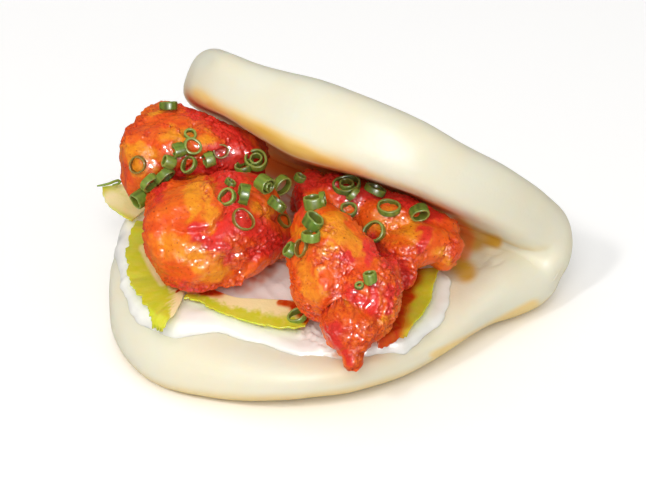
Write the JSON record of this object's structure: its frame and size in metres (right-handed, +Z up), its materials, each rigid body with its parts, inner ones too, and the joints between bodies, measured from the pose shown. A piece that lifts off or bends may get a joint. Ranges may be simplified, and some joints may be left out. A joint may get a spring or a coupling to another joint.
{
  "type": "gua bao",
  "caption": "Folded steamed bun filled with white cream, lettuce, glazed fried chicken and sliced scallion.",
  "frame": {"origin": "on the flat underside of the lower half, in the middle of the bun's length and depth", "axes": "+X along the fold, the mouth opens towards -Y, +Z up"},
  "size_m": [0.0953, 0.0917, 0.0594],
  "materials": {
    "dough": "soft steamed dough, slightly glossy skin",
    "cream": "wet white cream",
    "lettuce": "pale yellow-green leaf",
    "glazed_chicken": "crisp fried crust with a wet red-orange glaze, green scallion slices on it"
  },
  "bodies": {
    "root": {"bun": "dough", "cream": "cream", "lettuce_back_left": "lettuce", "lettuce_left": "lettuce", "lettuce_front": "lettuce", "lettuce_right": "lettuce", "chicken_left_back": "glazed_chicken", "chicken_left_front": "glazed_chicken", "chicken_right_front": "glazed_chicken", "chicken_right_back": "glazed_chicken"}
  },
  "joints": []
}
